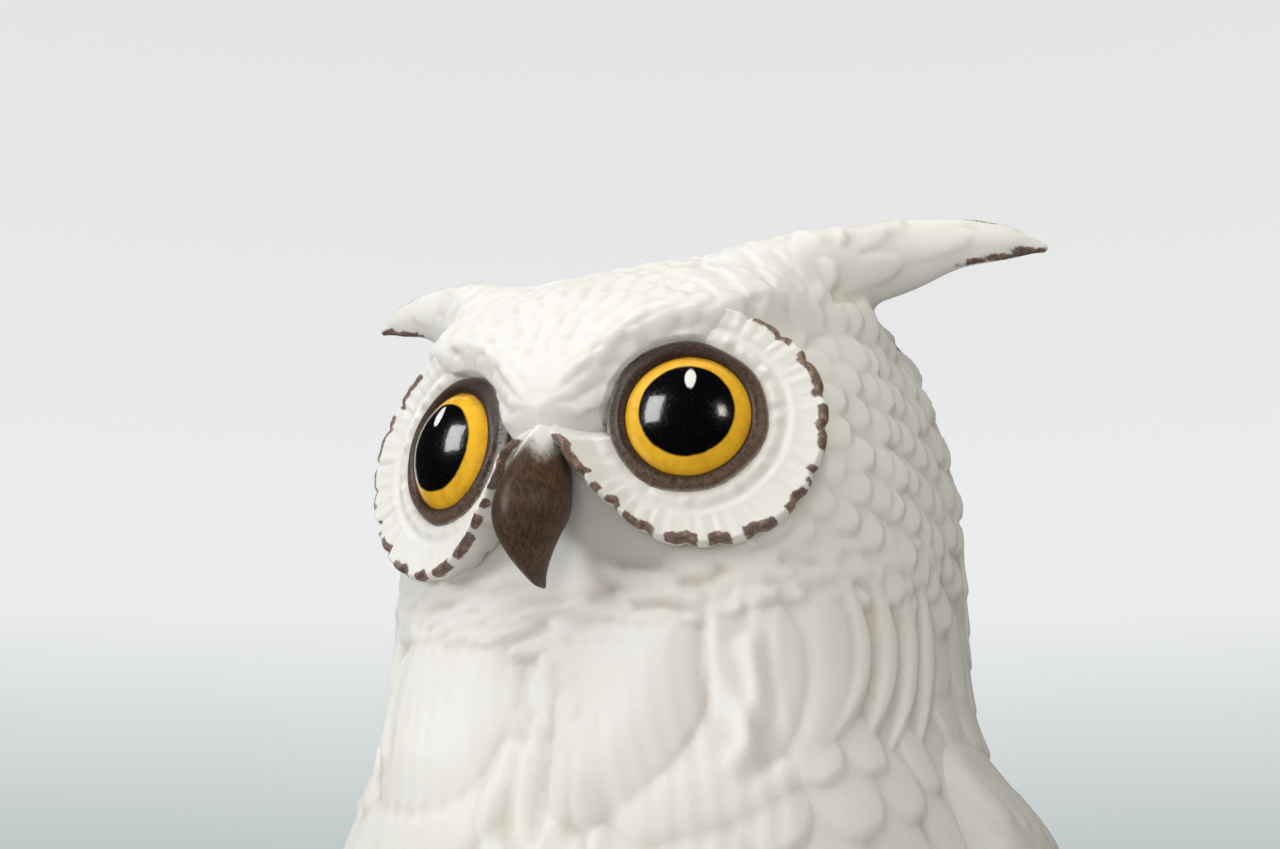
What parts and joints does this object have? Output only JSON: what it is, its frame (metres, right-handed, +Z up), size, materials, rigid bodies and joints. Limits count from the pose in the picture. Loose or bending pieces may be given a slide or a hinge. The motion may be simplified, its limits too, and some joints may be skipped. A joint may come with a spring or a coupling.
{
  "type": "owl figurine",
  "caption": "Unglazed white porcelain owl figurine with swept ear tufts, facial discs and glazed eyes, perched on a hollow stump base with vent holes.",
  "frame": {"origin": "middle of the flat underside of the stump, under the axis of the body", "axes": "+Z up to the ear tufts, -Y the way the owl faces, +X the owl's left"},
  "size_m": [0.172, 0.1471, 0.3379],
  "materials": {
    "bisque": "matte unglazed white bisque porcelain",
    "base_bisque": "matte unglazed bisque porcelain, slightly stained",
    "brown_stain": "brushed matte brown ceramic stain",
    "dark_stain": "brushed matte dark brown ceramic stain",
    "eye_glaze": "gloss glaze, yellow iris with a black pupil"
  },
  "bodies": {
    "root": {"head_shell": "bisque", "body_shell": "bisque", "facial_disc_left": "bisque", "facial_disc_right": "bisque", "eyelid_left": "brown_stain", "eyelid_right": "brown_stain", "eye_left": "eye_glaze", "eye_right": "eye_glaze", "beak": "dark_stain", "ear_tuft_left": "bisque", "ear_tuft_right": "bisque", "wing_left": "bisque", "wing_right": "bisque", "tail": "bisque", "foot_left": "bisque", "foot_right": "bisque", "talons_left": "dark_stain", "talons_right": "dark_stain", "stump": "base_bisque"}
  },
  "joints": []
}
